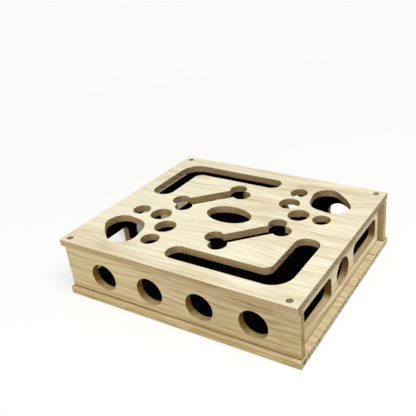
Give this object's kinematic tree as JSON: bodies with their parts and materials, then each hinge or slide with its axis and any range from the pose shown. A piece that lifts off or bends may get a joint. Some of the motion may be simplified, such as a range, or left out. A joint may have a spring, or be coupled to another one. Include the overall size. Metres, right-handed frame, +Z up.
{
  "type": "cat play box",
  "caption": "Flat wooden play box for a cat: a screwed lid with paw, bone and corner slot cut-outs over a hollow box with round and slotted holes in its walls.",
  "frame": {"origin": "middle of the base board's underside", "axes": "+X to the right along the box's length, +Y to the back, +Z up"},
  "size_m": [0.3032, 0.2529, 0.071],
  "materials": {
    "lid_wood": "sanded bare pine",
    "wall_wood": "sanded bare pine, dark inner face",
    "base_wood": "sanded bare pine, dark upper face inside the walls",
    "screw_steel": "dull plated steel",
    "dowel_wood": "plain beech"
  },
  "bodies": {
    "root": {"base": "base_wood", "front_wall": "wall_wood", "back_wall": "wall_wood", "left_wall": "wall_wood", "right_wall": "wall_wood", "lid": "lid_wood", "lid_screws": "screw_steel", "base_screws": "screw_steel", "corner_dowels": "dowel_wood"}
  },
  "joints": []
}
